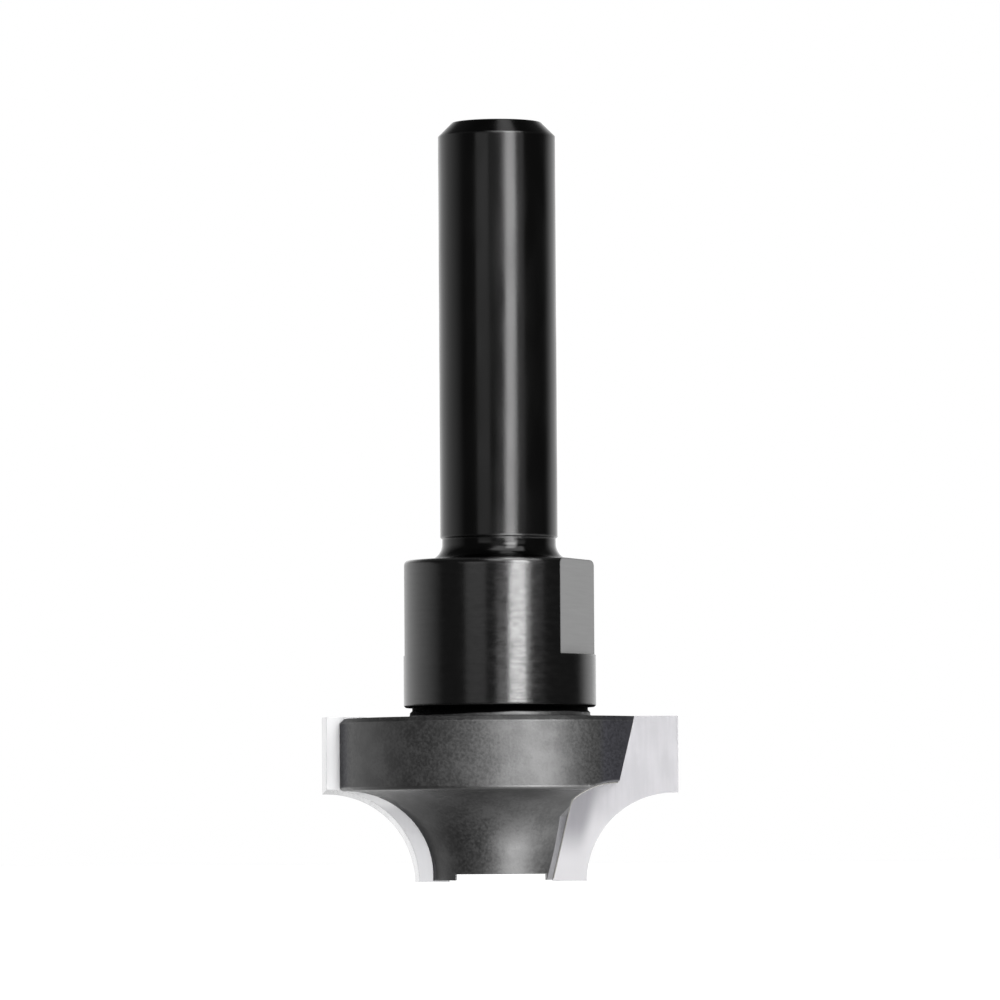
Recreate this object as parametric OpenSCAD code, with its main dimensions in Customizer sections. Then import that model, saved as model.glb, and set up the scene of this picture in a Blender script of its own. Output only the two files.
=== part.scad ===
// Router bit: a two-wing rounding-over cutter head screwed onto an arbor.
// Millimetres. +Z runs up the axis from the tips' lower ends, where z = 0, to the end of the shank.
// The rake face of the right wing looks towards -Y. The cutter turns clockwise seen from the shank.

/* [Shank] */
// Diameter of the shank, which the collet grips
shank_d = 12.7; // [12:0.05:13.5]
// Length of the shank, its end chamfer included
shank_len = 45; // [30:0.5:65]
// Width of the 45 degree chamfer on the shank's end
shank_chamfer = 1.5; // [0.5:0.1:2.5]
// Diameter of the relief neck between shank and collar
relief_d = 12.3; // [11:0.05:11.9]
// Length of the relief neck, its fillet included
relief_len = 2.5; // [2.4:0.1:6]
// Radius of the fillet at the foot of the relief neck
relief_fillet = 1.8; // [0.5:0.1:2]

/* [Collar] */
// Diameter of the collar
collar_d = 20.8; // [19.5:0.1:24]
// Height of the collar
collar_h = 15.9; // [12:0.1:22]
// Radius that rounds the collar's upper edge
collar_round = 0.6; // [0.2:0.1:1]
// Size of the spanner that fits the two flats
flats_across = 18; // [16:0.5:19]
// Height of the flats, down from the collar's top
flats_h = 10.3; // [6:0.1:11]
// Turn of the flats from the line through the two tips, in degrees
flats_turn = 21; // [0:1:90]
// Diameter of the register face that seats on the head
register_d = 19; // [16:0.1:19.2]
// Height by which the register face stands below the collar
register_h = 0.4; // [0.1:0.05:1]

/* [Stud] */
// Outer diameter of the threaded stud
stud_d = 8; // [6:0.5:8]
// Length of the stud below the register face
stud_len = 14.5; // [10:0.5:17]
// Width of the chamfer on the stud's end
stud_chamfer = 0.8; // [0.3:0.1:1.2]
// Length of the run-out groove at the stud's root
runout_len = 1.2; // [0.6:0.1:2]
// Depth of the run-out groove
runout_depth = 0.6; // [0.3:0.05:0.8]
// Clearance between the stud and the bore, on the radius
stud_clearance = 0.05; // [0.02:0.01:0.1]

/* [Cutting profile] */
// Diameter of the circle that the cutting edges sweep
cut_d = 38.5; // [37:0.1:42]
// Radius of the rounding that the cutter leaves on the wood
profile_r = 9.5; // [9:0.1:9.8]
// Width of the flat land outside the rounding
land_w = 0.45; // [0.2:0.05:0.8]
// Height of a tip
tip_h = 17.8; // [16.5:0.1:20]
// Thickness of a tip
tip_t = 2; // [1.5:0.1:2.5]
// Distance of the rake face behind the axis, which gives the edge its hook
rake_offset = 0.6; // [0:0.1:1]
// Clearance angle ground behind the cutting edge, in degrees
relief_angle = 14; // [8:1:18]
// Film of solder between a tip's edge and the wall of its seat
solder_film = 0.05; // [0.02:0.01:0.1]

/* [Head] */
// Diameter of the disc that carries the tips' upper halves
disc_d = 35; // [34:0.1:36]
// Height of the disc
disc_h = 7.8; // [6:0.1:9]
// Radius that rounds the disc's lower edge
disc_round = 0.45; // [0.2:0.05:0.7]
// Width of the bevel round the disc's upper edge
disc_break = 0.5; // [0.1:0.05:1]
// Diameter of the neck below the disc
neck_d = 15.5; // [15:0.1:16]
// Radius of the cove between neck and disc
cove_r = 9; // [8:0.1:9.3]
// Diameter of the boss that the arbor seats on
boss_d = 19.5; // [19:0.1:20.4]
// Height of the boss
boss_h = 0.8; // [0.5:0.1:3]
// Radius of the fillet at the foot of the boss
boss_fillet = 0.5; // [0.2:0.1:0.5]
// Height of the two feet above the tips' lower ends
foot_lift = 0.15; // [0.1:0.05:0.3]
// Width of the slot milled across the lower end, between the feet
slot_w = 9.6; // [9:0.1:9.7]
// Depth of that slot
slot_depth = 0.65; // [0.3:0.05:1]
// Width of the chamfer at the mouth of the bore
bore_chamfer = 0.5; // [0.2:0.1:0.7]

/* [Gullets] */
// Distance of the gullet's inner wall from the axis, at z = 0
wall_x = 5.5; // [5.4:0.05:5.8]
// Lean of the gullet's walls from the axis, in degrees
wall_lean = 13.5; // [8:0.5:14]
// Distance of the shoulder's outer corner from the axis
shoulder_x = 12.7; // [12:0.1:13]
// Height of the shoulder above the tips' lower ends
shoulder_z = 10.7; // [10.5:0.1:11]
// Radius of the curve from the shoulder in to the inner wall
shoulder_r = 7.5; // [7:0.1:8]
// Draft by which the inner wall opens towards the front, in degrees
wall_draft = 5.5; // [1:0.5:6]
// Height over which the drafted part runs out below the shoulder
run_out_h = 1.6; // [1:0.1:3]
// Width of that run-out
run_out_w = 1.6; // [1.4:0.1:2]

/* [Hidden] */
$fn = 96;

// The cut solids reach this much past what they cut
over = 1;
// Width of the small bevel on turned edges
turned_bevel = 0.2;
// The opening ends this far below the gullet's corner, so that the two cuts share no edge
corner_gap = 0.15;
wing_turns = [0, 180];

shank_r = shank_d / 2;
relief_r = relief_d / 2;
collar_r = collar_d / 2;
register_r = register_d / 2;
stud_r = stud_d / 2;
bore_r = stud_r + stud_clearance;
disc_r = disc_d / 2;
neck_r = neck_d / 2;
boss_r = boss_d / 2;

// Heights up the axis, from the tips' lower ends to the end of the shank
slot_top = foot_lift + slot_depth;
disc_z = slot_top + cove_r;
disc_top = disc_z + disc_h;
register_z = disc_top + boss_h;
collar_z = register_z + register_h;
collar_top = collar_z + collar_h;
shank_z = collar_top + relief_len;
shank_top = shank_z + shank_len;
stud_z = register_z - stud_len;

// The edge lies rake_offset behind the axis and still sweeps the full diameter
edge_x = sqrt(pow(cut_d / 2, 2) - pow(rake_offset, 2));
arc_x = edge_x - land_w;
seat_y = rake_offset + tip_t;
lean = tan(wall_lean);
relief = tan(relief_angle);
reach = disc_r + over;
curve_z = shoulder_z - shoulder_r;

// Height at which the inner wall runs into the shoulder's curve
function corner_z() =
    let (a = lean * lean + 1,
         dx = wall_x - shoulder_x,
         b = lean * dx - curve_z,
         c = dx * dx + curve_z * curve_z - shoulder_r * shoulder_r)
    (-b + sqrt(b * b - a * c)) / a;

// Flat fillet of radius r, for a corner whose walls lie along +X and +Y
module fillet(r) {
    difference() {
        square(r);
        translate([r, r]) circle(r);
    }
}

// Turned profile of the arbor, from the stud's end to the shank's end
module arbor_profile() {
    runout_r = stud_r - runout_depth;
    polygon([
        [0, stud_z],
        [stud_r - stud_chamfer, stud_z],
        [stud_r, stud_z + stud_chamfer],
        [stud_r, register_z - runout_len - runout_depth],
        [runout_r, register_z - runout_len],
        [runout_r, register_z],
        [register_r, register_z],
        [register_r, collar_z],
        [collar_r - turned_bevel, collar_z],
        [collar_r, collar_z + turned_bevel],
        [collar_r, collar_top],
        [relief_r, collar_top],
        [relief_r, shank_z - (shank_r - relief_r)],
        [shank_r, shank_z],
        [shank_r, shank_top - shank_chamfer],
        [shank_r - shank_chamfer, shank_top],
        [0, shank_top]
    ]);
    translate([relief_r, collar_top]) fillet(relief_fillet);
}

// What a round of radius r takes off a flat corner whose walls lie along -X and -Y
module corner_round(r) {
    translate([-r, -r]) difference() {
        square(r + over);
        circle(r);
    }
}

// Arbor: shank, relief neck, collar with two spanner flats, register face and stud
module arbor() {
    color([0.09, 0.09, 0.1])
    difference() {
        rotate_extrude() difference() {
            arbor_profile();
            translate([collar_r, collar_top]) corner_round(collar_round);
        }
        for (side = [0, 180]) {
            rotate([0, 0, side - flats_turn])
            translate([flats_across / 2, -collar_d / 2, collar_top - flats_h])
            cube([collar_d / 2, collar_d, flats_h + relief_fillet]);
        }
    }
}

// Turned profile of the head, before the gullets and the slot are milled
module head_profile() {
    difference() {
        union() {
            difference() {
                polygon([
                    [0, foot_lift],
                    [neck_r, foot_lift],
                    [neck_r, disc_z],
                    [disc_r, disc_z],
                    [disc_r, disc_top - disc_break],
                    [disc_r - disc_break, disc_top],
                    [boss_r, disc_top],
                    [boss_r, register_z - turned_bevel],
                    [boss_r - turned_bevel, register_z],
                    [0, register_z]
                ]);
                translate([disc_r, disc_z]) mirror([0, 1]) corner_round(disc_round);
            }
            translate([neck_r, disc_z]) mirror([0, 1]) fillet(cove_r);
            translate([boss_r, disc_top]) fillet(boss_fillet);
        }
        polygon([
            [0, 0],
            [bore_r + bore_chamfer, 0],
            [bore_r + bore_chamfer, slot_top],
            [bore_r, slot_top + bore_chamfer],
            [bore_r, register_z - bore_chamfer],
            [bore_r + bore_chamfer, register_z],
            [bore_r + bore_chamfer, register_z + over],
            [0, register_z + over]
        ]);
    }
}

// Outline, in X and Z, of what is open beside the gullet's walls, moved away from them by gap
module wing_outline(gap) {
    r = shoulder_r - gap;
    curve_top = curve_z + r;
    wall = wall_x + gap;
    top = tip_h + over;
    polygon([
        [wall - over * lean, -over],
        [edge_x + over, -over],
        [edge_x + over, top],
        [shoulder_x + gap + (top - shoulder_z) * lean, top],
        [shoulder_x + gap + (curve_top - shoulder_z) * lean, curve_top],
        [shoulder_x, curve_top],
        [shoulder_x, curve_z],
        [wall + curve_z * lean, curve_z]
    ]);
    intersection() {
        translate([shoulder_x, curve_z]) circle(r);
        polygon([
            [wall + curve_z * lean, curve_z],
            [shoulder_x, curve_z],
            [shoulder_x, top],
            [wall + top * lean, top]
        ]);
    }
}

// Stands an outline in X and Z up as a plate that fills y = back - depth to y = back
module plate(back, depth) {
    translate([0, back, 0]) rotate([90, 0, 0]) linear_extrude(depth) children();
}

// Drafted part of the gullet's inner wall: it opens towards the front, and its upper end runs out on a slant
module wall_opening() {
    top = corner_z() - corner_gap;
    full_z = top - run_out_h;
    full_x = wall_x + full_z * lean;
    translate([wall_x, rake_offset, 0])
    rotate([0, 0, -wall_draft])
    translate([-wall_x, 0, 0])
    plate(over, 2 * over + reach)
    polygon([
        [wall_x - over * lean, -over],
        [wall_x + reach, -over],
        [wall_x + reach, top],
        [full_x + run_out_w, top],
        [full_x, full_z]
    ]);
}

// Gullet and tip seat of one wing, milled square to the rake face
module gullet() {
    plate(seat_y, seat_y + reach) wing_outline(0);
    wall_opening();
}

// Head: boss, disc, cove, neck, two gullets with tip seats, two feet and the tapped bore
module cutter_body() {
    color([0.36, 0.36, 0.37])
    difference() {
        rotate_extrude() head_profile();
        translate([-slot_w / 2, -reach, 0]) cube([slot_w, 2 * reach, slot_top]);
        for (turn = wing_turns) {
            rotate([0, 0, turn]) gullet();
        }
    }
}

// Space swept clear by the profile wheel behind the cutting edge of the right wing
module ground_clearance() {
    run = tip_t + over;
    translate([arc_x, rake_offset - over, 0])
    rotate([-90, 0, 0])
    cylinder(h = over + run, r1 = profile_r - over * relief, r2 = profile_r + run * relief);

    translate([arc_x, rake_offset, profile_r])
    rotate([relief_angle, 0, 0])
    translate([0, -over, -2 * profile_r])
    cube([land_w + over, over + run, 2 * profile_r]);

    translate([edge_x, rake_offset, 0])
    rotate([0, 0, relief_angle])
    translate([0, -over, -over])
    cube([2 * over, over + run, tip_h + 2 * over]);
}

// Carbide tip of the right wing, flat on its seat
module carbide_tip() {
    color([0.82, 0.83, 0.86])
    difference() {
        plate(seat_y, tip_t) intersection() {
            wing_outline(solder_film);
            square([edge_x, tip_h]);
        }
        ground_clearance();
    }
}

module carbide_tip_right() {
    carbide_tip();
}

module carbide_tip_left() {
    rotate([0, 0, 180]) carbide_tip();
}

arbor();
cutter_body();
carbide_tip_right();
carbide_tip_left();
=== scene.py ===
# %% [markdown]
# # A rounding-over router bit, dressed
#
# The frame holds four solids: a black arbor, a grey cutter head that screws onto it, and two carbide tips
# that are brazed into the head. Their shapes and places are right already, so this lesson gives them
# their real finishes, adds the small things that are too fine for the solids, and lights the whole like a
# catalogue picture: a stack of soft boxes, a white backdrop and a dark room in front.

# %% Load the frame
import math

import bpy
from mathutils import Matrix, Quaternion, Vector


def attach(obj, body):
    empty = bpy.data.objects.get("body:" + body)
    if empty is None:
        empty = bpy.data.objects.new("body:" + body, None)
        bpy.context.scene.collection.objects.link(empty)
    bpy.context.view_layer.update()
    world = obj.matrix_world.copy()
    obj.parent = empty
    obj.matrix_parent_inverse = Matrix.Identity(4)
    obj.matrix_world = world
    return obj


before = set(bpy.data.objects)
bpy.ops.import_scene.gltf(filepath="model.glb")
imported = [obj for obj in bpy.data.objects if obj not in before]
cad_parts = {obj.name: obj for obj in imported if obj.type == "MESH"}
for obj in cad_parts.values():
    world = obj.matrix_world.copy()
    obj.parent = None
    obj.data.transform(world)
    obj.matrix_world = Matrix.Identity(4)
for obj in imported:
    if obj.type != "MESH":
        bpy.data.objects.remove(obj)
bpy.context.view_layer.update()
MM = 0.001
print("CAD nodes:", sorted(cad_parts))

# %% [markdown]
# ## The camera
#
# The picture was taken with a long lens, from a little below the middle of the bit: the end of the shank
# bulges upwards and no top face shows. A camera could be set by eye, but the picture's own scale gives it
# directly: the shank is 12.7 mm thick, so the frame is about 108 mm wide, and the lens follows from the
# distance. The camera stands just above the floor, because the real one looked up at the cutter.

# %% Set the camera
FRAME_WIDTH = 108.27 * MM
CAMERA_DISTANCE = 800 * MM
CAMERA_HEIGHT = 2 * MM
AIM = Vector((0.14 * MM, 0, 41.25 * MM))
LEAN = math.radians(0.36)
SENSOR = 36

camera = bpy.data.objects.new("camera", bpy.data.cameras.new("camera"))
bpy.context.scene.collection.objects.link(camera)
camera.location = (AIM.x, -CAMERA_DISTANCE, CAMERA_HEIGHT)
sight = AIM - camera.location
camera.rotation_mode = "QUATERNION"
camera.rotation_quaternion = sight.to_track_quat("-Z", "Y") @ Quaternion((0, 0, 1), -LEAN)
camera.data.sensor_width = SENSOR
camera.data.lens = SENSOR * sight.length / FRAME_WIDTH
camera.data.clip_start = 10 * MM
bpy.context.scene.camera = camera
looking_up = math.degrees(math.asin(sight.z / sight.length))
print("lens", round(camera.data.lens), "mm, looking up by", round(looking_up, 2), "degrees")

# %% [markdown]
# ## Two small helpers
#
# Every material below is built up from small nodes. Writing each one takes the same three steps, so one
# function adds a node, sets it and links it. Inputs go by name or by number: a Map Range node takes its
# value at 0, the two limits at 1 and 2 and what they become at 3 and 4, and a Mix node its amount at 0,
# two numbers at 2 and 3 or two colours at 6 and 7. Colours are picked as sRGB hex values, as on a colour
# card, while the shader reckons with linear light, so a second function turns one into the other.

# %% Helpers for nodes and colours
MATHS, MIX, RAMP = "ShaderNodeMath", "ShaderNodeMix", "ShaderNodeMapRange"
VECTORS, SPLIT = "ShaderNodeVectorMath", "ShaderNodeSeparateXYZ"
SOFT = {"interpolation_type": "SMOOTHSTEP"}
COLOURS = {"data_type": "RGBA"}
NUMBERS = {"data_type": "FLOAT"}


def add(tree, kind, inputs=None, **settings):
    """Adds a node with its settings. An input gets a value, or a link if another node's socket is given."""
    made = tree.nodes.new(kind)
    for name, value in settings.items():
        setattr(made, name, value)
    for key, value in (inputs or {}).items():
        if isinstance(value, bpy.types.NodeSocket):
            tree.links.new(value, made.inputs[key])
        else:
            made.inputs[key].default_value = value
    return made


def linear(code):
    """An sRGB hex colour such as "88898B" as linear red, green, blue and alpha."""
    channels = [int(code[i:i + 2], 16) / 255 for i in (0, 2, 4)]
    return [c / 12.92 if c <= 0.04045 else ((c + 0.055) / 1.055) ** 2.4 for c in channels] + [1]


print("a mid grey card in linear light:", [round(c, 3) for c in linear("808080")])

# %% [markdown]
# ## The room that the metal shows
#
# Metal shows what stands round it, and on the polished shank one reads the studio like a map: the white
# backdrop at both edges, reaching further round on the left, and a dark room in the middle. The cove of
# the cutter looks down, and shows a table that is lit on the right and lies in shadow on the left. So the
# world is white for the camera, and for reflections it is white behind the bit up to a certain height,
# dark in front, shaded low down on the left and bright low down on the right. A photographed panorama
# would be a picture file, and a few ramps over the direction of the ray do the same here.

# %% World: directions
TO_THE_LEFT = (-0.35, 0.94, 0)
TO_THE_TABLE = (0.9, 0, -0.44)

world = bpy.data.worlds.new("studio")
bpy.context.scene.world = world
world.use_nodes = True
tree = world.node_tree
tree.nodes.clear()
direction = add(tree, "ShaderNodeTexCoord").outputs["Generated"]
axes = add(tree, SPLIT, {0: direction}).outputs
leftwards = add(tree, VECTORS, {0: direction, 1: TO_THE_LEFT}, operation="DOT_PRODUCT").outputs["Value"]
tablewards = add(tree, VECTORS, {0: direction, 1: TO_THE_TABLE}, operation="DOT_PRODUCT").outputs["Value"]
print("the backdrop reaches round towards", TO_THE_LEFT, "and the lit table lies towards", TO_THE_TABLE)

# %% World: ramps over the direction
DARK_ROOM = 0.07
CEILING = 0.04
BACKDROP_HIGH = 0.05
UNDER_TABLE = 0.35
LIT_TABLE = 0.85

# Each ramp: its name, what it follows, where it starts and ends, and the brightness at both ends.
ROOM_RAMPS = (
    ("behind", axes["Y"], 0.25, 0.72, DARK_ROOM, 1.0, "SMOOTHSTEP"),
    ("left_side", leftwards, 0.06, 0.86, DARK_ROOM, 1.0, "LINEAR"),
    ("ceiling", axes["Z"], 0.6, 0.9, DARK_ROOM, CEILING, "LINEAR"),
    ("backdrop_top", axes["Z"], 0.6, 0.2, BACKDROP_HIGH, 1.0, "LINEAR"),
    ("shaded_table", axes["Z"], -0.5, -0.1, UNDER_TABLE, 1.0, "LINEAR"),
    ("far_table", axes["Z"], -0.75, -0.35, UNDER_TABLE, 1.0, "LINEAR"),
    ("lit_table", tablewards, 0.1, 0.65, 0.0, LIT_TABLE, "LINEAR"),
    ("downwards", axes["Z"], -0.1, -0.35, 0.0, 1.0, "LINEAR"),
)
room = {}
for name, source, start, end, low, high, shape in ROOM_RAMPS:
    limits = {0: source, 1: start, 2: end, 3: low, 4: high}
    room[name] = add(tree, RAMP, limits, interpolation_type=shape).outputs[0]
print("ramps of the room:", sorted(room))

# %% World: join the ramps
SOFT_LIGHT = 0.3

# Each step: the name of what it makes, and what it is made of.
STEPS = (
    ("back", "behind", "MULTIPLY", "far_table"),
    ("side", "left_side", "MULTIPLY", "shaded_table"),
    ("table", "lit_table", "MULTIPLY", "downwards"),
    ("backdrop", "back", "MAXIMUM", "side"),
    ("backdrop", "backdrop", "MULTIPLY", "backdrop_top"),
    ("whole", "backdrop", "MAXIMUM", "ceiling"),
    ("whole", "whole", "MAXIMUM", "table"),
)
for name, first, operation, second in STEPS:
    room[name] = add(tree, MATHS, {0: room[first], 1: room[second]}, operation=operation).outputs[0]

# Reflections see the room, the table's diffuse light an even glow, and the camera plain white.
ray = add(tree, "ShaderNodeLightPath").outputs
shown = {0: ray["Is Glossy Ray"], 2: SOFT_LIGHT, 3: room["whole"]}
shown = add(tree, MIX, shown, **NUMBERS).outputs[0]
straight = {0: ray["Is Camera Ray"], 1: ray["Is Transmission Ray"]}
straight = add(tree, MATHS, straight, operation="MAXIMUM").outputs[0]
level = add(tree, MIX, {0: straight, 2: shown, 3: 1.0}, **NUMBERS).outputs[0]
sky = add(tree, "ShaderNodeBackground", {"Color": linear("FFFFFF"), "Strength": level}).outputs[0]
add(tree, "ShaderNodeOutputWorld", {"Surface": sky})
print("world of", len(tree.nodes), "nodes")

# %% [markdown]
# ## The lamps
#
# The bright line on the shank is a tall soft box a little to the right of the camera. Lower down it moves
# towards the camera, as the line on the collar and the glow on the disc show, and below the disc it moves
# out again. One leaning box could be turned by hand, but four upright ones above each other are simpler
# to set: a mirror-like upright surface shows a lamp a metre away at about twice its own height, so each
# box serves one part of the bit. A weak wide box glows beside the line on the shank, two weak panels
# stand on the left and a haze in front, one box hangs high in front for the neck, and two more light the
# chamfers from above.

# %% A soft box
LAMP_DISTANCE = 1.0
WATTS_PER_RADIANCE = 4


def soft_box(name, away, height, width, length, radiance):
    """A lamp that stands at LAMP_DISTANCE in the direction away, raised by height, and faces the axis.

    Cycles gives a soft box its watts over four times its area as radiance, so the watts follow from it.
    """
    light = bpy.data.lights.new(name, "AREA")
    light.shape = "RECTANGLE"
    light.size = width
    light.size_y = length
    light.energy = WATTS_PER_RADIANCE * light.size * light.size_y * radiance
    box = bpy.data.objects.new(name, light)
    bpy.context.scene.collection.objects.link(box)
    box.location = away * LAMP_DISTANCE + Vector((0, 0, height))
    box.rotation_mode = "QUATERNION"
    box.rotation_quaternion = (-away).to_track_quat("-Z", "Y")


def towards(azimuth, rise=0.0):
    """The direction at an azimuth from the camera and a height above the horizon, both in degrees."""
    turn, up = math.radians(azimuth), math.radians(rise)
    return Vector((math.sin(turn) * math.cos(up), -math.cos(turn) * math.cos(up), math.sin(up)))


print("the camera's side is", tuple(towards(0)))

# %% Upright lamps
# Heights in metres. The shank shows lamps above the first and the collar those above the second. The disc
# shows those between the second and the third, and the cove those below the third.
SHOWN_BY_SHANK = 0.078
SHOWN_BY_COLLAR = 0.034
SHOWN_BY_COVE = -0.3
LOWEST, HIGHEST = -1.2, 1.2
STRIP_GAP = 0.004

# Each lamp: its azimuth and its width in degrees, its radiance, and its lower and upper end in metres.
UPRIGHT_LAMPS = {
    "shank_strip": (26.5, 21, 4.4, SHOWN_BY_SHANK, HIGHEST),
    "collar_strip": (21, 20, 10.8, SHOWN_BY_COLLAR, SHOWN_BY_SHANK - STRIP_GAP),
    "disc_strip": (8, 22, 1.7, SHOWN_BY_COVE, SHOWN_BY_COLLAR),
    "cove_strip": (25, 48, 3.0, LOWEST, SHOWN_BY_COVE),
    "strip_glow": (38, 32, 0.45, SHOWN_BY_SHANK, 0.4),
    "shank_panel": (-29, 26, 0.45, SHOWN_BY_SHANK, 0.3),
    "low_panel": (-28, 24, 0.14, -0.2, SHOWN_BY_SHANK),
    "front_haze": (-2, 24, 0.2, 0.13, HIGHEST),
    "high_front": (22, 22, 4.5, 0.28, 0.5),
}
for name, (azimuth, across, radiance, bottom, top) in UPRIGHT_LAMPS.items():
    width = 2 * LAMP_DISTANCE * math.tan(math.radians(across) / 2)
    soft_box(name, towards(azimuth), (top + bottom) / 2, width, top - bottom, radiance)
print("upright lamps:", ", ".join(UPRIGHT_LAMPS))

# %% Lamps overhead
# Each lamp: its azimuth and its height above the horizon in degrees, its two sides in metres, its radiance.
OVERHEAD_LAMPS = {
    "ceiling_lamp": (90, 82, 0.5, 0.22, 1.0),
    "high_haze": (25, 54, 0.9, 0.6, 1.4),
}
for name, (azimuth, rise, width, length, radiance) in OVERHEAD_LAMPS.items():
    soft_box(name, towards(azimuth, rise), 0, width, length, radiance)
print("lamps overhead:", ", ".join(OVERHEAD_LAMPS))

# %% [markdown]
# ## The floor
#
# The bit stands on its cutter, on a white table that runs on to the horizon. The table keeps the bit's
# shadow: it is a plain white diffuse surface that shows the camera a little light of its own, which lifts
# its lit part to pure white and leaves the shadow. The metal doesn't see the table, because the world
# below the horizon already stands for it, and the low lamps shine through it.

# %% The table's white lacquer
FLOOR_LIFT = 0.75
LACQUER_ROUGHNESS = 0.6


def material(name):
    """A new material without nodes, and its node tree."""
    made = bpy.data.materials.new(name)
    made.use_nodes = True
    made.node_tree.nodes.clear()
    return made, made.node_tree


lacquer, tree = material("White lacquered table")
ray = add(tree, "ShaderNodeLightPath").outputs
seen = ray["Is Camera Ray"]
for other in ("Is Glossy Ray", "Is Transmission Ray"):
    seen = add(tree, MATHS, {0: seen, 1: ray[other]}, operation="MAXIMUM").outputs[0]
lift = add(tree, MATHS, {0: seen, 1: FLOOR_LIFT}, operation="MULTIPLY").outputs[0]
paint = {"Base Color": linear("F2F2F2"), "Roughness": LACQUER_ROUGHNESS}
glow = {"Emission Color": linear("FFFFFF"), "Emission Strength": lift}
surface = add(tree, "ShaderNodeBsdfPrincipled", {**paint, **glow}).outputs[0]
add(tree, "ShaderNodeOutputMaterial", {"Surface": surface})
print(lacquer.name, "of", len(tree.nodes), "nodes")

# %% Make the floor
FLOOR_HALF = 20.0

floor_mesh = bpy.data.meshes.new("floor")
corners = [(x * FLOOR_HALF, y * FLOOR_HALF, 0) for x, y in ((-1, -1), (1, -1), (1, 1), (-1, 1))]
floor_mesh.from_pydata(corners, [], [(0, 1, 2, 3)])
floor_mesh.materials.append(lacquer)
floor = bpy.data.objects.new("floor", floor_mesh)
bpy.context.scene.collection.objects.link(floor)
floor.visible_glossy = False
floor.visible_shadow = False
print("floor", 2 * FLOOR_HALF, "m square")

# %% [markdown]
# ## Tools that every metal shares
#
# All the finishes are worked out from where a point lies on the part, in millimetres, so that a scratch
# is as long and a grain as coarse as on the real bit. Four small functions cover it: one gives the place,
# one gives noise whose grain can be stretched, one finds the worn edges, and one ends the material. A
# picture of scratches wrapped round the part could do the same, but would be a file and would show its
# seam.

# %% Place and grain
GRAIN_LOW, GRAIN_HIGH = 0.3, 0.7
SMOOTH, MEDIUM, FINE = 1.0, 2.0, 3.0


def place_in_mm(tree):
    """The point's place on the part in millimetres, and the same split into X, Y and Z."""
    metres = add(tree, "ShaderNodeTexCoord").outputs["Object"]
    place = add(tree, VECTORS, {0: metres, "Scale": 1 / MM}, operation="SCALE").outputs[0]
    return place, add(tree, SPLIT, {0: place}).outputs


def grain(tree, place, size, detail):
    """Noise whose grains measure size = (x, y, z) in millimetres, with finer layers as detail says.

    It lies mostly between GRAIN_LOW and GRAIN_HIGH.
    """
    squeeze = tuple(1 / length for length in size)
    scaled = add(tree, VECTORS, {0: place, 1: squeeze}, operation="MULTIPLY").outputs[0]
    noise = {"Vector": scaled, "Scale": 1.0, "Detail": detail}
    return add(tree, "ShaderNodeTexNoise", noise).outputs["Fac"]


print("the finishes are worked out in units of", MM, "m")

# %% Edges and the shader
EDGE_SAMPLES = 6
EDGE_STARTS, EDGE_FULL = 0.995, 0.93


def worn_edges(tree, radius):
    """A mask of the edges, and the normal rounded over them, for edges that were broken with a file.

    The mask compares the two normals: their cosine is 1 on a flat and falls towards an edge.
    """
    rounded = add(tree, "ShaderNodeBevel", {"Radius": radius}, samples=EDGE_SAMPLES).outputs[0]
    flat = add(tree, "ShaderNodeNewGeometry").outputs["Normal"]
    cosine = add(tree, VECTORS, {0: rounded, 1: flat}, operation="DOT_PRODUCT").outputs["Value"]
    return add(tree, RAMP, {0: cosine, 1: EDGE_STARTS, 2: EDGE_FULL}, **SOFT).outputs[0], rounded


def finish_surface(tree, inputs):
    """The shader and the output that every metal here ends in."""
    surface = add(tree, "ShaderNodeBsdfPrincipled", {"Metallic": 1.0, **inputs})
    add(tree, "ShaderNodeOutputMaterial", {"Surface": surface.outputs[0]})


print("an edge starts", round(math.degrees(math.acos(EDGE_STARTS)), 1), "degrees off the flat")

# %% [markdown]
# ## Black oxide on turned and ground steel: the arbor
#
# The arbor is turned from one bar, its shank is ground to size, and the whole is dipped in a hot salt
# bath that turns the skin into about a micron of black magnetite, then oiled. The eye gets a dark metal
# with clear reflections: long and even on the ground shank, broken up on the turned collar by what the
# tool left, and dull and pale where the spanner flats were milled. Black paint would show white light
# under its gloss, so this is a metal of very low reflectance instead. Its parts are told apart by their
# height on the bit, which is simpler than painting masks by hand and follows the solid.

# %% Black oxide: where its parts are
COLLAR_BOTTOM, COLLAR_TOP, SHANK_BOTTOM = 18.8, 34.7, 37.2
ARBOR_EDGE = 0.3 * MM

black_oxide, tree = material("Black oxide on ground and turned steel")
place, axes = place_in_mm(tree)
edges, rounded = worn_edges(tree, ARBOR_EDGE)

# Each mask, and the heights where it starts and where it is full.
MASKS = {
    "above_collar": (COLLAR_TOP, COLLAR_TOP + 0.1),
    "neck": (COLLAR_TOP, COLLAR_TOP + 0.2),
    "shank": (SHANK_BOTTOM - 0.4, SHANK_BOTTOM - 0.1),
    "painted_joint_shade": (COLLAR_BOTTOM + 0.22, COLLAR_BOTTOM + 0.1),
    "upper_edge": (COLLAR_TOP - 0.35, COLLAR_TOP - 0.15),
}
mask = {}
for name, (start, end) in MASKS.items():
    mask[name] = add(tree, RAMP, {0: axes["Z"], 1: start, 2: end}, **SOFT).outputs[0]
print("masks of the arbor:", sorted(mask))

# %% Black oxide: the spanner flats
# On a flat the surface reaches the plane of the flat, and lies above the flat's floor.
FLAT_BOTTOM = 24.4
FLAT_TURN = math.radians(21)
HALF_ACROSS_FLATS = 9.0
REACH_STARTS, REACH_FULL = HALF_ACROSS_FLATS - 0.03, HALF_ACROSS_FLATS - 0.005
ABOVE_FLOOR = 0.02

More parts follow.
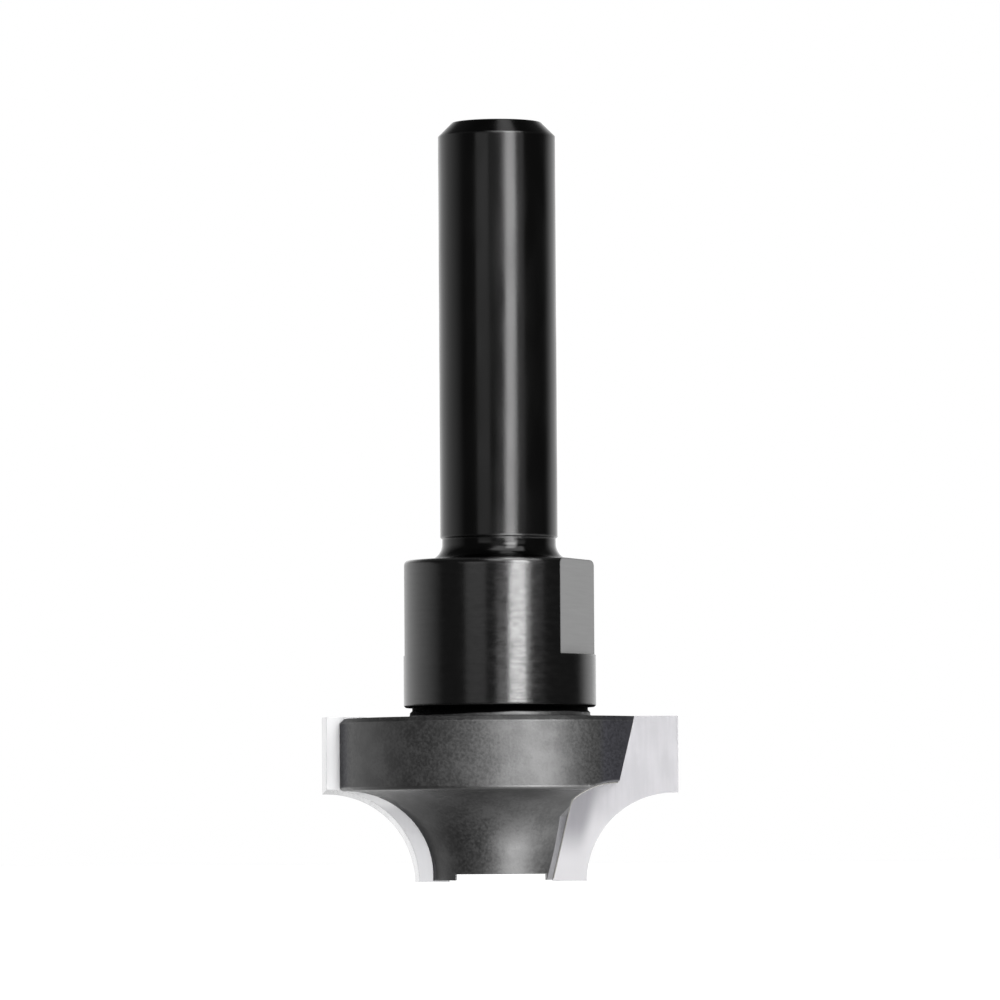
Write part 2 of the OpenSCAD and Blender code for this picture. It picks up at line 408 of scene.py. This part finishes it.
outwards = (math.cos(FLAT_TURN), -math.sin(FLAT_TURN), 0)
reach = add(tree, VECTORS, {0: place, 1: outwards}, operation="DOT_PRODUCT").outputs["Value"]
reach = add(tree, MATHS, {0: reach}, operation="ABSOLUTE").outputs[0]
at_plane = add(tree, RAMP, {0: reach, 1: REACH_STARTS, 2: REACH_FULL}, **SOFT).outputs[0]
above = add(tree, MATHS, {0: axes["Z"], 1: FLAT_BOTTOM + ABOVE_FLOOR}, operation="GREATER_THAN").outputs[0]
mask["flats"] = add(tree, MATHS, {0: at_plane, 1: above}, operation="MULTIPLY").outputs[0]
print("spanner flats", 2 * HALF_ACROSS_FLATS, "mm across, from", FLAT_BOTTOM, "mm up")

# %% [markdown]
# ### Its colour
#
# The salt bath colours the turned collar less deeply than the ground shank, and the milled flats least.
# The rounded upper edge of the collar is painted pale, as a painted highlight line. The neck is painted
# darker than the shank, as painted shade in its groove, and the narrow register face between the collar and
# the head is painted near black, as painted shade in the gap. Each is a coat over the last, mixed in by its
# mask, so one loop lays them all.

# %% Black oxide: colour
# The streaks that the bath left follow the turning, round the collar.
STREAK = (5.0, 5.0, 0.22)
EDGE_WEAR = 0.35

streaks = grain(tree, place, STREAK, FINE)
collar = {0: streaks, 6: linear("5B5B5B"), 7: linear("505050")}
collar = add(tree, MIX, collar, **COLOURS).outputs[2]
milled = {0: streaks, 6: linear("9A9A9A"), 7: linear("A6A6A6")}
milled = add(tree, MIX, milled, **COLOURS).outputs[2]
worn = add(tree, MATHS, {0: edges, 1: EDGE_WEAR}, operation="MULTIPLY").outputs[0]
# The band on the collar's upper edge is painted pale: a painted highlight line.
below_top = add(tree, MATHS, {0: 1.0, 1: mask["above_collar"]}, operation="SUBTRACT").outputs[0]
painted_edge_highlight = add(tree, MATHS, {0: mask["upper_edge"], 1: below_top}, operation="MULTIPLY").outputs[0]

coats = (
    # The neck is painted darker than the shank: painted shade in its groove.
    (mask["neck"], linear("373737")),
    (mask["shank"], linear("3F3F3F")),
    (mask["flats"], milled),
    (worn, linear("9A9A9A")),
    # The register face between collar and head is painted near black: painted shade in the gap.
    (mask["painted_joint_shade"], linear("0C0C0C")),
    (painted_edge_highlight, linear("A0A0A0")),
)
skin = collar
for amount, colour in coats:
    skin = add(tree, MIX, {0: amount, 6: skin, 7: colour}, **COLOURS).outputs[2]
print("black oxide:", len(coats), "coats over the collar's grey")

# %% [markdown]
# ### Its gloss and relief
#
# The turning tool leaves the collar bright but uneven, so its highlight is broken up. The grinding wheel
# leaves the shank even and a touch softer, and the neck under it a touch brighter. The milling cutter
# leaves the flats dull, and the register face, painted near black as shade, is made duller still. The
# tool's rings could be modelled, but they are only microns deep, so a bump gives them. They are drawn at a
# pitch coarser than the real feed of about 0.1 mm, and the other marks are coarser than real ones too, so
# that they show.

# %% Black oxide: gloss
# The tool's marks lie round the collar, and the wheel's faint chatter lies along the shank.
TURNED_MARK = (1.0, 1.0, 0.5)
GROUND_MARK = (2.0, 2.0, 8.0)
TURNED_ROUGH = 0.15, 0.2
GROUND_ROUGH = 0.16, 0.24
NECK_POLISH = 0.04
POLISH_STARTS, POLISH_FULL = SHANK_BOTTOM, SHANK_BOTTOM - 0.3
MILLED_ROUGH = 0.45
SHADE_ROUGH = 0.9

marks = grain(tree, place, TURNED_MARK, FINE)
ground_marks = grain(tree, place, GROUND_MARK, SMOOTH)
turned = {0: marks, 1: GRAIN_LOW, 2: GRAIN_HIGH, 3: TURNED_ROUGH[0], 4: TURNED_ROUGH[1]}
turned = add(tree, RAMP, turned, **SOFT).outputs[0]
ground = {0: ground_marks, 1: GRAIN_LOW, 2: GRAIN_HIGH, 3: GROUND_ROUGH[0], 4: GROUND_ROUGH[1]}
ground = add(tree, RAMP, ground, **SOFT).outputs[0]
polish = {0: axes["Z"], 1: POLISH_STARTS, 2: POLISH_FULL, 3: 0.0, 4: NECK_POLISH}
polish = add(tree, RAMP, polish, **SOFT).outputs[0]
ground = add(tree, MATHS, {0: ground, 1: polish}, operation="SUBTRACT").outputs[0]
rough = turned
for name, value in (("above_collar", ground), ("flats", MILLED_ROUGH), ("painted_joint_shade", SHADE_ROUGH)):
    rough = add(tree, MIX, {0: mask[name], 2: rough, 3: value}, **NUMBERS).outputs[0]
print("roughness of the collar", TURNED_ROUGH, "and of the shank", GROUND_ROUGH)

# %% Black oxide: relief
# The heights are in units of RELIEF_STEP. The Wave node draws BANDS rings a unit at a scale of 1. Broad,
# shallow patches under the rings break the collar's highlight up.
RING_PITCH = 0.35
BANDS = 3.2
RING_WAVER = 0.6
PATCH = (1.2, 1.2, 1.0)
RING_HEIGHT, MARK_HEIGHT, PATCH_HEIGHT, GROUND_HEIGHT = 0.08, 0.8, 2.0, 4.0
RELIEF_STEP = 0.01 * MM
RELIEF_STRENGTH = 0.3

rings = {"Vector": place, "Scale": 1 / RING_PITCH / BANDS, "Distortion": RING_WAVER}
rings = add(tree, "ShaderNodeTexWave", rings, bands_direction="Z").outputs["Fac"]
patches = grain(tree, place, PATCH, FINE)
turned_relief = 0.0
for source, height in ((rings, RING_HEIGHT), (marks, MARK_HEIGHT), (patches, PATCH_HEIGHT)):
    turned_relief = {0: source, 1: height, 2: turned_relief}
    turned_relief = add(tree, MATHS, turned_relief, operation="MULTIPLY_ADD").outputs[0]
ground_relief = add(tree, MATHS, {0: ground_marks, 1: GROUND_HEIGHT}, operation="MULTIPLY").outputs[0]
relief = {0: mask["above_collar"], 2: turned_relief, 3: ground_relief}
relief = add(tree, MIX, relief, **NUMBERS).outputs[0]
bumped = {"Strength": RELIEF_STRENGTH, "Distance": RELIEF_STEP, "Height": relief, "Normal": rounded}
bumped = add(tree, "ShaderNodeBump", bumped).outputs[0]
finish_surface(tree, {"Base Color": skin, "Roughness": rough, "Normal": bumped})
print(black_oxide.name, "of", len(tree.nodes), "nodes")

# %% [markdown]
# ## Bead-blasted steel: the cutter head
#
# The head is turned and milled, its tips are brazed in, and then it is blasted with glass beads that
# scour off the flux and leave overlapping dents of about a tenth of a millimetre. The eye gets an even
# grey with a broad soft highlight that sparkles a little. A plain rough metal would look like cast
# plastic, so the dents are in the relief and in the tone as well, drawn 0.3 mm wide because the real ones
# are too fine to show.

# %% Bead-blasted steel: dents and clouds
DENT = 0.3
CLOUD = (2.6, 2.6, 2.0)
DENT_SHARE, CLOUD_SHARE = 0.55, 0.6
TONE_DARK, TONE_LIGHT = 0.38, 0.78
HEAD_EDGE = 0.25 * MM

blasted_steel, tree = material("Bead-blasted steel")
place, axes = place_in_mm(tree)
edges, rounded = worn_edges(tree, HEAD_EDGE)
dents = grain(tree, place, (DENT, DENT, DENT), MEDIUM)
clouds = grain(tree, place, CLOUD, FINE)
tone = 0.0
for source, share in ((dents, DENT_SHARE), (clouds, CLOUD_SHARE)):
    tone = add(tree, MATHS, {0: source, 1: share, 2: tone}, operation="MULTIPLY_ADD").outputs[0]
tone = add(tree, RAMP, {0: tone, 1: TONE_DARK, 2: TONE_LIGHT}, **SOFT).outputs[0]
skin = {0: tone, 6: linear("656565"), 7: linear("7B7B7B")}
skin = add(tree, MIX, skin, **COLOURS).outputs[2]
print("dents", DENT, "mm wide, clouds", CLOUD, "mm")

# %% [markdown]
# ### Where the head's tone changes
#
# The blasted steel is painted darker towards both wings, away from a middle a little to the left: painted
# shade on the disc's sides. Close to the tips it is painted a darker blue-grey, wide at the gullet and
# narrow and dark on the back: a painted dark reflection along the disc's edges. The round under the disc's
# rim is smoother, and is painted paler as a highlight line. The gullet's wall was swept by the wheel that
# ground the tip beside it, and is paler. The boss is painted near black under the collar, furthest down on
# the left: painted shade in the gap under the arbor. These could be painted by hand, but all of them follow
# the place on the part or the way that the surface faces, so ramps give their masks.

# %% Bead-blasted steel: painted shade on the wings and near the tips
MIDDLE, NEAR_MIDDLE, FAR_OUT = -3.5, 8.5, 14.0
TINT_FRONT, TINT_HEEL, TINT_WIDTH = 10.3, 15.9, 1.0
FADED = 0.85

out = add(tree, MATHS, {0: axes["X"]}, operation="ABSOLUTE").outputs[0]
# The wings are painted darker away from the middle: painted shade on the disc's sides.
painted_wing_shade = add(tree, MATHS, {0: axes["X"], 1: -MIDDLE}, operation="ADD").outputs[0]
painted_wing_shade = add(tree, MATHS, {0: painted_wing_shade}, operation="ABSOLUTE").outputs[0]
painted_wing_shade = add(tree, RAMP, {0: painted_wing_shade, 1: NEAR_MIDDLE, 2: FAR_OUT, 3: 0.0, 4: FADED}, **SOFT).outputs[0]

# A wing's heel lies where X and Y have the same sign.
heel = add(tree, MATHS, {0: axes["X"], 1: axes["Y"]}, operation="MULTIPLY").outputs[0]
heel = add(tree, MATHS, {0: heel, 1: 0}, operation="GREATER_THAN").outputs[0]
start = add(tree, MIX, {0: heel, 2: TINT_FRONT, 3: TINT_HEEL}, **NUMBERS).outputs[0]
# Near the tips the steel is painted a darker blue-grey: a painted dark reflection along the disc's edges.
painted_band_shade = add(tree, MATHS, {0: out, 1: start}, operation="SUBTRACT").outputs[0]
painted_band_shade = add(tree, RAMP, {0: painted_band_shade, 1: 0.0, 2: TINT_WIDTH, 3: 0.0, 4: FADED}, **SOFT).outputs[0]
tint = {0: heel, 6: linear("5C5C63"), 7: linear("434349")}
tint = add(tree, MIX, tint, **COLOURS).outputs[2]
print("painted shade band from", TINT_FRONT, "mm out in front and", TINT_HEEL, "mm behind")

# %% Bead-blasted steel: rim highlight, wall and painted shade on the boss
DISC_BOTTOM, BOSS_TOP = 9.8, 18.4
RIM_STARTS, RIM_FULL, RIM_END = DISC_BOTTOM + 0.45, DISC_BOTTOM + 0.33, DISC_BOTTOM - 0.05
SIDEWAYS = 0.9
WALL_OUT = 9.0
SHADE_REACH, SHADE_REACH_STARTS, SHADE_REACH_FULL = 0.3, 3.0, -7.0
SHADE_CLOUDS = 0.2
BOSS_SHADE_STARTS, BOSS_SHADE_FULL = BOSS_TOP - 0.2, BOSS_TOP - 0.03

# The round under the disc's rim is smoother, and is painted paler: a painted highlight line.
smooth_rim_and_highlight = add(tree, RAMP, {0: axes["Z"], 1: RIM_STARTS, 2: RIM_FULL}, **SOFT).outputs[0]
under = add(tree, MATHS, {0: axes["Z"], 1: RIM_END}, operation="GREATER_THAN").outputs[0]
smooth_rim_and_highlight = add(tree, MATHS, {0: smooth_rim_and_highlight, 1: under}, operation="MULTIPLY").outputs[0]

normal = add(tree, SPLIT, {0: add(tree, "ShaderNodeTexCoord").outputs["Normal"]}).outputs
wall = add(tree, MATHS, {0: normal["X"]}, operation="ABSOLUTE").outputs[0]
wall = add(tree, MATHS, {0: wall, 1: SIDEWAYS}, operation="GREATER_THAN").outputs[0]
near = add(tree, MATHS, {0: out, 1: WALL_OUT}, operation="LESS_THAN").outputs[0]
wall = add(tree, MATHS, {0: wall, 1: near}, operation="MULTIPLY").outputs[0]

# The boss is painted near black under the collar, lower on the left: painted shade in the gap under the
# arbor.
shade_reach = {0: axes["X"], 1: SHADE_REACH_STARTS, 2: SHADE_REACH_FULL, 3: 0.0, 4: SHADE_REACH}
shade_reach = add(tree, RAMP, shade_reach, **SOFT).outputs[0]
boss_shade_height = add(tree, MATHS, {0: axes["Z"], 1: shade_reach}, operation="ADD").outputs[0]
boss_shade_height = add(tree, MATHS, {0: clouds, 1: SHADE_CLOUDS, 2: boss_shade_height}, operation="MULTIPLY_ADD").outputs[0]
painted_boss_shade = add(tree, RAMP, {0: boss_shade_height, 1: BOSS_SHADE_STARTS, 2: BOSS_SHADE_FULL}, **SOFT).outputs[0]
print("the painted shade starts", round(BOSS_TOP - BOSS_SHADE_STARTS, 2), "mm under the boss's top")

# %% Bead-blasted steel: put it together
EDGE_BRIGHT = 0.3
BLASTED_ROUGH = 0.42, 0.54
RIM_POLISH = 0.08
DENT_STEP = 0.02 * MM
DENT_STRENGTH = 0.5

worn = add(tree, MATHS, {0: edges, 1: EDGE_BRIGHT}, operation="MULTIPLY").outputs[0]
coats = (
    (painted_wing_shade, linear("575757")),
    (painted_band_shade, tint),
    (worn, linear("ABABAB")),
    (smooth_rim_and_highlight, linear("7A7A7A")),
    (wall, linear("868689")),
    (painted_boss_shade, linear("0E0E0E")),
)
for amount, colour in coats:
    skin = add(tree, MIX, {0: amount, 6: skin, 7: colour}, **COLOURS).outputs[2]
rough = {0: dents, 1: GRAIN_LOW, 2: GRAIN_HIGH, 3: BLASTED_ROUGH[0], 4: BLASTED_ROUGH[1]}
rough = add(tree, RAMP, rough, **SOFT).outputs[0]
rough = add(tree, MATHS, {0: smooth_rim_and_highlight, 1: -RIM_POLISH, 2: rough}, operation="MULTIPLY_ADD").outputs[0]
rough = add(tree, MIX, {0: painted_boss_shade, 2: rough, 3: SHADE_ROUGH}, **NUMBERS).outputs[0]
bumped = {"Strength": DENT_STRENGTH, "Distance": DENT_STEP, "Height": dents, "Normal": rounded}
bumped = add(tree, "ShaderNodeBump", bumped).outputs[0]
finish_surface(tree, {"Base Color": skin, "Roughness": rough, "Normal": bumped})
print(blasted_steel.name, "of", len(tree.nodes), "nodes")

# %% [markdown]
# ## Ground tungsten carbide: the two tips
#
# A tip is pressed and sintered from tungsten carbide grains in cobalt, brazed in as a blank and then
# ground with a diamond wheel, which leaves a pale, faintly bluish metal with fine parallel scratches.
# They are drawn 0.3 mm wide, because the real ones, about the size of the grit, are too fine to show. A
# darker patch is painted into the corner beside the gullet's wall, as painted shade, and the tips are
# painted paler towards the foot, as painted light. The flanks behind the cutting edge got the finest wheel,
# and show the backdrop most clearly; they and the rest of each tip behind the rake face are also painted
# paler, as painted light.

# %% Ground carbide: scratches and tone
SCRATCH = (0.3, 3.0, 5.0)
TIP_CLOUD = (2.0, 2.0, 2.5)
TIP_SHARE = 0.5
TIP_DARK, TIP_LIGHT = 0.35, 0.7
TIP_EDGE = 0.05 * MM

ground_carbide, tree = material("Diamond-ground tungsten carbide")
place, axes = place_in_mm(tree)
edges, rounded = worn_edges(tree, TIP_EDGE)
scratches = grain(tree, place, SCRATCH, MEDIUM)
clouds = grain(tree, place, TIP_CLOUD, MEDIUM)
tone = 0.0
for source in (scratches, clouds):
    tone = add(tree, MATHS, {0: source, 1: TIP_SHARE, 2: tone}, operation="MULTIPLY_ADD").outputs[0]
tone = add(tree, RAMP, {0: tone, 1: TIP_DARK, 2: TIP_LIGHT}, **SOFT).outputs[0]
skin = {0: tone, 6: linear("B1B0B3"), 7: linear("BAB9BC")}
skin = add(tree, MIX, skin, **COLOURS).outputs[2]
print("scratches", SCRATCH, "mm")

# %% Ground carbide: painted shade and light, and how finely it is ground
# The painted wall shade reaches about 2.4 mm out from the gullet's wall, which starts at WALL_X and leans
# outwards by WALL_SLOPE, and lies above the foot. The flanks lie behind the rake face and look to the side.
WALL_X, WALL_SLOPE = 5.5, 0.24
WALL_SHADE_ENDS, WALL_SHADE_FULL = 8.7, 7.2
FOOT_TOP, FOOT_CLEAR = 2.0, 6.5
PALE_STARTS, PALE_FULL, PALE = 9.0, 5.0, 0.7
CURVE_TOP, LAND_BOTTOM = 7.6, 8.6
RAKE_DEPTH = 0.65, 0.75
FLANK_NORMAL = 0.6

out = add(tree, MATHS, {0: axes["X"]}, operation="ABSOLUTE").outputs[0]
from_wall = add(tree, MATHS, {0: axes["Z"], 1: -WALL_SLOPE, 2: out}, operation="MULTIPLY_ADD").outputs[0]
# A darker patch beside the gullet's wall: painted shade in the corner.
inner = add(tree, RAMP, {0: from_wall, 1: WALL_SHADE_ENDS, 2: WALL_SHADE_FULL}, **SOFT).outputs[0]
above_foot = add(tree, RAMP, {0: axes["Z"], 1: FOOT_TOP, 2: FOOT_CLEAR}, **SOFT).outputs[0]
painted_wall_shade = add(tree, MATHS, {0: inner, 1: above_foot}, operation="MULTIPLY").outputs[0]
# The tips are painted paler towards the foot: painted light.
painted_light_towards_foot = {0: axes["Z"], 1: PALE_STARTS, 2: PALE_FULL, 3: 0.0, 4: PALE}
painted_light_towards_foot = add(tree, RAMP, painted_light_towards_foot, **SOFT).outputs[0]

depth = add(tree, MATHS, {0: axes["Y"]}, operation="ABSOLUTE").outputs[0]
behind_rake = add(tree, RAMP, {0: depth, 1: RAKE_DEPTH[0], 2: RAKE_DEPTH[1]}, **SOFT).outputs[0]
above_curve = add(tree, RAMP, {0: axes["Z"], 1: CURVE_TOP, 2: LAND_BOTTOM}, **SOFT).outputs[0]
# Behind the rake face the tips are painted paler, most above the curve: painted light on their backs.
painted_back_light = {0: above_curve, 6: linear("C8C8CA"), 7: linear("E6E6E7")}
painted_back_light = add(tree, MIX, painted_back_light, **COLOURS).outputs[2]

normal = add(tree, SPLIT, {0: add(tree, "ShaderNodeTexCoord").outputs["Normal"]}).outputs
sideways = add(tree, MATHS, {0: normal["Y"]}, operation="ABSOLUTE").outputs[0]
sideways = add(tree, MATHS, {0: sideways, 1: FLANK_NORMAL}, operation="LESS_THAN").outputs[0]
flanks = add(tree, MATHS, {0: sideways, 1: behind_rake}, operation="MULTIPLY").outputs[0]
print("the painted wall shade reaches", round((WALL_SHADE_ENDS + WALL_SHADE_FULL) / 2 - WALL_X, 2), "mm from the wall")

# %% Ground carbide: put it together
TIP_EDGE_BRIGHT = 0.8
TIP_ROUGH = 0.36, 0.48
FINE_WHEEL = 0.2
SCRATCH_STEP = 0.01 * MM
SCRATCH_STRENGTH = 0.2

worn = add(tree, MATHS, {0: edges, 1: TIP_EDGE_BRIGHT}, operation="MULTIPLY").outputs[0]
coats = (
    (painted_light_towards_foot, linear("C6C5C7")),
    (painted_wall_shade, linear("959498")),
    (behind_rake, painted_back_light),
    # The flanks are painted paler too: painted light.
    (flanks, linear("E8E8E9")),
    (worn, linear("E8E8E9")),
)
for amount, colour in coats:
    skin = add(tree, MIX, {0: amount, 6: skin, 7: colour}, **COLOURS).outputs[2]
rough = {0: scratches, 1: GRAIN_LOW, 2: GRAIN_HIGH, 3: TIP_ROUGH[0], 4: TIP_ROUGH[1]}
rough = add(tree, RAMP, rough, **SOFT).outputs[0]
rough = add(tree, MATHS, {0: sideways, 1: -FINE_WHEEL, 2: rough}, operation="MULTIPLY_ADD").outputs[0]
bumped = {"Strength": SCRATCH_STRENGTH, "Distance": SCRATCH_STEP, "Height": scratches, "Normal": rounded}
bumped = add(tree, "ShaderNodeBump", bumped).outputs[0]
finish_surface(tree, {"Base Color": skin, "Roughness": rough, "Normal": bumped})
print(ground_carbide.name, "of", len(tree.nodes), "nodes")

# %% [markdown]
# ## Put the finishes on
#
# The arbor, the head and the tips each get one material for the whole solid. A real bit is finished part
# by part as well, and the masks above tell apart what was turned, ground, milled or rubbed. The solids
# could be cut into regions with a material each, but their faces would then have to change, and they stay
# as they are.

# %% Dress the nodes
FINISHES = {
    "arbor": black_oxide,
    "cutter_body": blasted_steel,
    "carbide_tip_right": ground_carbide,
    "carbide_tip_left": ground_carbide,
}
for node, finish in FINISHES.items():
    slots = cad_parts[node].data.materials
    slots.clear()
    slots.append(finish)
    print(node, "wears", finish.name)

# %% [markdown]
# ## Silver solder along the tips
#
# A tip is brazed in with silver solder. A little of it stays as a thin concave seam where the rake face
# meets the gullet's wall, and catches the light as a fine line. It could be a light line in the material,
# but it has a shape of its own, so a small section is swept along the wall's outline, which is a straight
# line up, the cutter's arc and a straight line again.

# %% The wall's outline
WALL_LEAN = math.radians(13.5)
SHOULDER_X, SHOULDER_Z, SHOULDER_R = 12.7, 10.7, 7.5

lean = math.tan(WALL_LEAN)
centre_z = SHOULDER_Z - SHOULDER_R

# The wall meets the shoulder's arc at the upper root of a quadratic equation in Z.
a = lean ** 2 + 1
b = lean * (WALL_X - SHOULDER_X) - centre_z
c = (WALL_X - SHOULDER_X) ** 2 + centre_z ** 2 - SHOULDER_R ** 2
corner_z = (-b + math.sqrt(b * b - a * c)) / a
print("the wall meets the shoulder", round(corner_z, 2), "mm up")

# %% Points along the wall
SEAT_BOTTOM, SEAT_TOP = 0.3, 17.3
WALL_STEPS, SHOULDER_STEPS, TOP_STEPS = 20, 16, 12

# Each point is X and Z, and the direction away from the wall in X and Z.
off_wall = (math.cos(WALL_LEAN), -math.sin(WALL_LEAN))
path = []
for step in range(WALL_STEPS):
    z = SEAT_BOTTOM + (corner_z - SEAT_BOTTOM) * step / WALL_STEPS
    path.append((WALL_X + z * lean, z, *off_wall))
arc_start = math.atan2(corner_z - centre_z, WALL_X + corner_z * lean - SHOULDER_X)
for step in range(1, SHOULDER_STEPS + 1):
    angle = arc_start + (math.pi / 2 - arc_start) * step / SHOULDER_STEPS
    x, z = math.cos(angle), math.sin(angle)
    path.append((SHOULDER_X + SHOULDER_R * x, centre_z + SHOULDER_R * z, -x, -z))
for step in range(1, TOP_STEPS + 1):
    z = SHOULDER_Z + (SEAT_TOP - SHOULDER_Z) * step / TOP_STEPS
    path.append((SHOULDER_X + (z - SHOULDER_Z) * lean, z, *off_wall))
print(len(path), "points along the wall")

# %% The seam's section
SEAM = 0.16
SUNK = 0.06
HOLLOW_STEPS = 6

# Each point is its distance from the wall and its distance in front of the rake face.
section = []
for step in range(HOLLOW_STEPS + 1):
    angle = math.pi / 2 * step / HOLLOW_STEPS
    section.append((SEAM * (1 - math.sin(angle)), SEAM * (1 - math.cos(angle))))
section += [(-SUNK, SEAM), (-SUNK, -SUNK), (SEAM, -SUNK)]
print("a seam", SEAM, "mm wide, of", len(section), "points round")


# %% Pieces made of rings
def ring_faces(rings, around):
    """Faces that join rings of points into a closed bar, with a cap at each end."""
    faces = []
    for ring in range(rings - 1):
        here = ring * around
        above = here + around
        for corner in range(around):
            following = (corner + 1) % around
            faces.append((here + corner, here + following, above + following, above + corner))
    faces.append(tuple(reversed(range(around))))
    faces.append(tuple(range((rings - 1) * around, rings * around)))
    return faces


def piece(name, points, faces, finish):
    """A new mesh from points in millimetres, which rides with the bit."""
    mesh = bpy.data.meshes.new(name)
    mesh.from_pydata([tuple(value * MM for value in point) for point in points], [], faces)
    mesh.materials.append(finish)
    made = bpy.data.objects.new(name, mesh)
    bpy.context.scene.collection.objects.link(made)
    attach(made, "root")
    print(name, "of", len(points), "points and", len(faces), "faces")


# %% Sweep the solder seams
RAKE_Y = 0.6
SOLDER_ROUGH = 0.42

solder, tree = material("Silver solder")
finish_surface(tree, {"Base Color": linear("8E8D8A"), "Roughness": SOLDER_ROUGH})
seam_points = []
for x, z, off_x, off_z in path:
    for off, front in section:
        seam_points.append((x + off * off_x, RAKE_Y - front, z + off * off_z))
for side, turn in (("right", 1), ("left", -1)):
    turned = [(turn * x, turn * y, z) for x, y, z in seam_points]
    piece("solder_seam_" + side, turned, ring_faces(len(path), len(section)), solder)

# %% [markdown]
# ## The thread in the bore's mouth
#
# Seen from below, the stud ends a little way inside the head, and the tapped hole runs on past it. Its
# thread is a ridge wound round the bore's wall, with the 1.25 mm pitch of an 8 mm thread. A bump would do
# for a distant view, but one looks straight along the wall here, so the ridge is real and fades out at
# both ends.

# %% Wind the thread
BORE_R, CREST_R, PITCH = 4.05, 3.4, 1.25
THREAD_BOTTOM, THREAD_TOP = 1.45, 3.2
CREST_HALF, FOOT_HALF = 0.08, 0.5
STEPS_A_TURN, FADE_STEPS = 48, 10

steps = round((THREAD_TOP - THREAD_BOTTOM) / PITCH * STEPS_A_TURN)
thread_points = []
for step in range(steps + 1):
    angle = 2 * math.pi * step / STEPS_A_TURN
    z = THREAD_BOTTOM + PITCH * step / STEPS_A_TURN
    fade = min(1, step / FADE_STEPS, (steps - step) / FADE_STEPS)
    foot, crest = BORE_R + SUNK, BORE_R - (BORE_R - CREST_R) * fade
    ridge = ((foot, -FOOT_HALF), (crest, -CREST_HALF), (crest, CREST_HALF), (foot, FOOT_HALF))
    for radius, rise in ridge:
        thread_points.append((radius * math.cos(angle), radius * math.sin(angle), z + rise * PITCH))
piece("bore_thread", thread_points, ring_faces(steps + 1, len(ridge)), blasted_steel)

# %% [markdown]
# ## Set the view
#
# The standard view shows a colour about as it is written, where a film-like one would grey the white table.

# %% Set the view
bpy.context.scene.view_settings.view_transform = "Standard"
